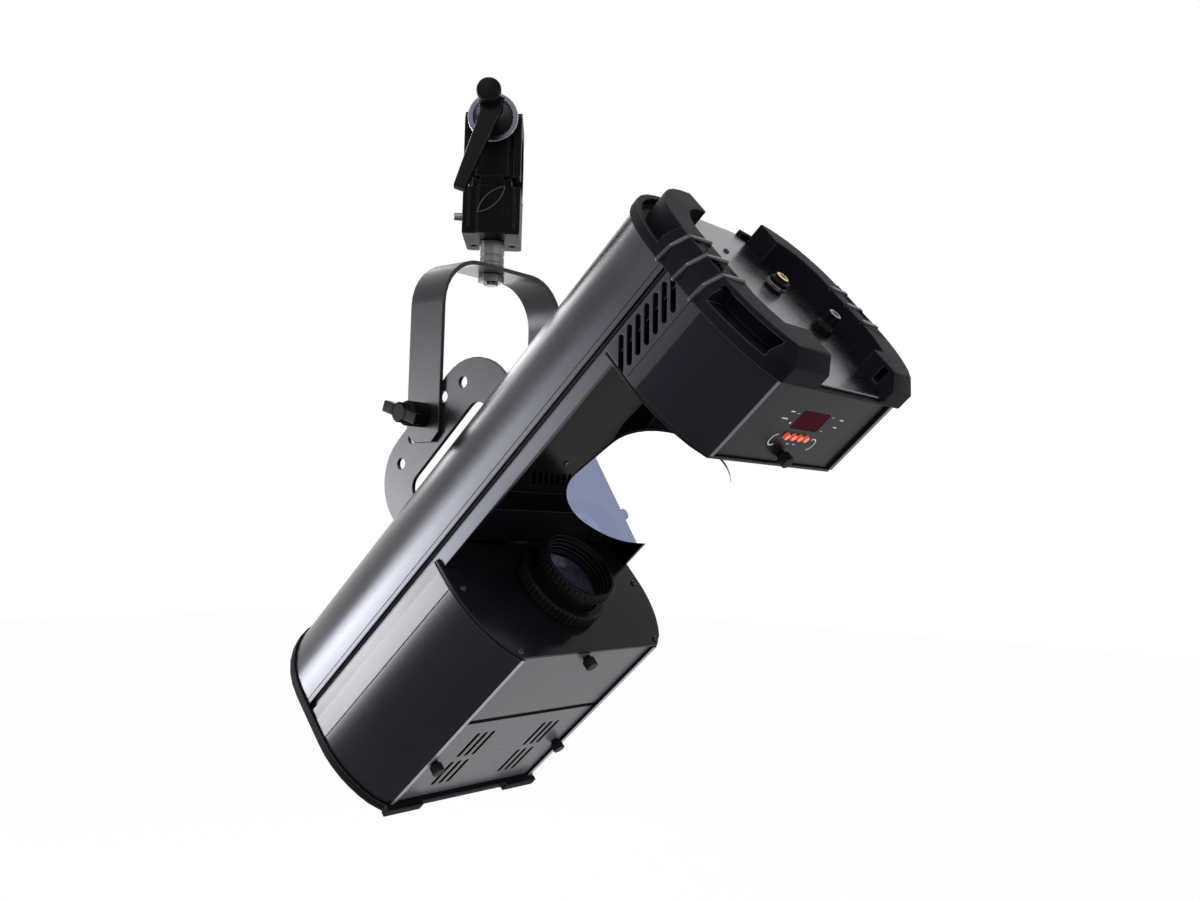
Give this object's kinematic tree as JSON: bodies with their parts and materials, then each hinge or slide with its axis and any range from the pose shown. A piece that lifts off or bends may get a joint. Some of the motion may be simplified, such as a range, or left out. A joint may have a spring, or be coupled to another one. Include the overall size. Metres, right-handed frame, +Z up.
{
  "type": "scanner light",
  "caption": "Mirror scanner stage light with a tilting mirror, focusing lens and display panel, hung from a truss tube clamp by a pivoted steel yoke.",
  "frame": {"origin": "axis of the truss tube held in the clamp, midway along the clamp jaws", "axes": "+Z up, +X along the tilt pivots of the yoke, the mirror head hangs towards -Y and the lamp end towards +Y"},
  "size_m": [0.2304, 0.4806, 0.5795],
  "materials": {
    "anodised": "black anodised extrusion, satin with broad soft highlights",
    "black_sheet": "black powder-coated sheet, fine texture",
    "cover_paint": "dark grey semi-gloss paint",
    "cap_plastic": "charcoal moulded plastic, matte",
    "black_plastic": "black moulded plastic, slight sheen",
    "black_steel": "black painted steel, satin",
    "black_casting": "black painted aluminium casting, satin",
    "bright_steel": "bright zinc-plated steel",
    "zinc_sheet": "light grey plated sheet",
    "lens_glass": "coated clear glass",
    "mirror_coat": "first-surface mirror",
    "window_red": "dark red filter window",
    "button_red": "orange-red moulded buttons",
    "board_green": "green circuit board",
    "ceramic": "off-white ceramic lamp base"
  },
  "bodies": {
    "clamp": {"clamp_body": "black_casting", "clamp_lock_screw": "bright_steel", "hanging_bolt": "bright_steel", "hanging_nut": "bright_steel"},
    "jaw": {"clamp_jaw": "black_casting"},
    "bolt": {"swing_bolt": "bright_steel"},
    "lever": {"clamp_lever": "black_plastic", "lever_washer": "zinc_sheet"},
    "yoke_frame": {"yoke": "black_steel"},
    "left_knob": {"left_tilt_knob": "black_plastic"},
    "right_knob": {"right_tilt_knob": "black_plastic"},
    "pan_bracket": {"mirror_bracket": "black_steel", "tilt_motor": "black_steel"},
    "mirror_head": {"mirror_mount": "black_steel", "mirror": "mirror_coat"},
    "focus": {"focus_ring": "black_plastic"},
    "lens": {"lens_barrel": "black_plastic", "front_lens": "lens_glass"},
    "button_1_key": {"button_1": "button_red"},
    "button_2_key": {"button_2": "button_red"},
    "button_3_key": {"button_3": "button_red"},
    "button_4_key": {"button_4": "button_red"},
    "gobo_disc": {"gobo_wheel": "zinc_sheet"},
    "colour_disc": {"colour_wheel": "lens_glass"},
    "fan_blades": {"fan_rotor": "black_plastic"},
    "fixture": {"spine": "anodised", "right_ear": "black_steel", "left_ear": "black_steel", "right_lamp_side": "anodised", "left_lamp_side": "anodised", "lens_plate": "black_sheet", "lamp_cover_plate": "cover_paint", "vent_cover": "cover_paint", "lamp_cover_thumbscrew": "black_plastic", "right_vent_thumbscrew": "black_plastic", "left_vent_thumbscrew": "black_plastic", "display_panel_thumbscrew": "black_plastic", "tray_floor": "black_sheet", "right_head_side": "anodised", "left_head_side": "anodised", "head_front_plate": "black_sheet", "display_panel": "cover_paint", "display_window": "window_red", "control_board": "board_green", "head_end_cap": "cap_plastic", "connector_plate": "zinc_sheet", "fuse_holder": "black_plastic", "cable_gland": "black_plastic", "dmx_in_socket": "black_plastic", "dmx_out_socket": "black_plastic", "lamp_end_cap": "cap_plastic", "pan_motor": "black_steel", "heat_shield": "zinc_sheet", "lamp_reflector": "mirror_coat", "lamp": "lens_glass", "lamp_holder": "ceramic", "gobo_motor": "black_steel", "colour_motor": "black_steel", "fan_frame": "black_plastic", "transformer": "black_steel"}
  },
  "joints": [
    {"name": "yoke_swivel", "type": "hinge", "parent": "clamp", "child": "yoke_frame", "pos_m": [0, 0, -0.089], "axis": [0, 0, 1], "range_deg": [-170, 170]},
    {"name": "fixture_tilt", "type": "hinge", "parent": "yoke_frame", "child": "fixture", "pos_m": [0, 0, -0.2178], "axis": [1, 0, 0], "range_deg": [-37.7, 122.3]},
    {"name": "left_knob_turn", "type": "hinge", "parent": "yoke_frame", "child": "left_knob", "pos_m": [0, 0, -0.2178], "axis": [1, 0, 0], "continuous": true},
    {"name": "right_knob_turn", "type": "hinge", "parent": "yoke_frame", "child": "right_knob", "pos_m": [0, 0, -0.2178], "axis": [-1, 0, 0], "continuous": true},
    {"name": "bolt_swing", "type": "hinge", "parent": "clamp", "child": "bolt", "pos_m": [0.01648, 0.01458, 0.029], "axis": [-0.6626, 0.749, 0], "range_deg": [0, 130]},
    {"name": "jaw_open", "type": "hinge", "parent": "clamp", "child": "jaw", "pos_m": [-0.01891, -0.01673, -0.0207], "axis": [0.6626, -0.749, 0], "range_deg": [0, 39]},
    {"name": "lever_turn", "type": "hinge", "parent": "bolt", "child": "lever", "pos_m": [-0.03176, -0.02809, 0.029], "axis": [-0.749, -0.6626, 0], "continuous": true},
    {"name": "mirror_pan", "type": "hinge", "parent": "fixture", "child": "pan_bracket", "pos_m": [0, -0.17535, -0.2478], "axis": [0, -0.7396, 0.673], "range_deg": [-53, 127]},
    {"name": "mirror_tilt", "type": "hinge", "parent": "pan_bracket", "child": "mirror_head", "pos_m": [0, -0.17535, -0.2478], "axis": [-0.7986, 0.405, 0.4451], "range_deg": [-50.7, 14.3]},
    {"name": "focus_turn", "type": "hinge", "parent": "fixture", "child": "focus", "pos_m": [0, -0.08462, -0.3524], "axis": [0, -0.7396, 0.673], "range_deg": [0, 180]},
    {"name": "lens_slide", "type": "slide", "parent": "fixture", "child": "lens", "axis": [0, -0.7396, 0.673], "range_m": [0, 0.01]},
    {"name": "button_1_press", "type": "slide", "parent": "fixture", "child": "button_1_key", "axis": [0, 0.673, 0.7396], "range_m": [0, 0.0012], "stiffness_N_per_m": 400, "springref_m": -0.0005},
    {"name": "button_2_press", "type": "slide", "parent": "fixture", "child": "button_2_key", "axis": [0, 0.673, 0.7396], "range_m": [0, 0.0012], "stiffness_N_per_m": 400, "springref_m": -0.0005},
    {"name": "button_3_press", "type": "slide", "parent": "fixture", "child": "button_3_key", "axis": [0, 0.673, 0.7396], "range_m": [0, 0.0012], "stiffness_N_per_m": 400, "springref_m": -0.0005},
    {"name": "button_4_press", "type": "slide", "parent": "fixture", "child": "button_4_key", "axis": [0, 0.673, 0.7396], "range_m": [0, 0.0012], "stiffness_N_per_m": 400, "springref_m": -0.0005},
    {"name": "gobo_turn", "type": "hinge", "parent": "fixture", "child": "gobo_disc", "pos_m": [-0.042, -0.0517, -0.38235], "axis": [0, -0.7396, 0.673], "continuous": true},
    {"name": "colour_turn", "type": "hinge", "parent": "fixture", "child": "colour_disc", "pos_m": [-0.042, -0.04727, -0.38638], "axis": [0, -0.7396, 0.673], "continuous": true},
    {"name": "fan_spin", "type": "hinge", "parent": "fixture", "child": "fan_blades", "pos_m": [0, 0.05702, -0.48128], "axis": [0, -0.7396, 0.673], "continuous": true}
  ],
  "couplings": [
    {"joint": "jaw_open", "follows": "bolt_swing", "ratio": 0.3},
    {"joint": "lens_slide", "follows": "focus_turn", "m_per_rad": 0.003183}
  ]
}
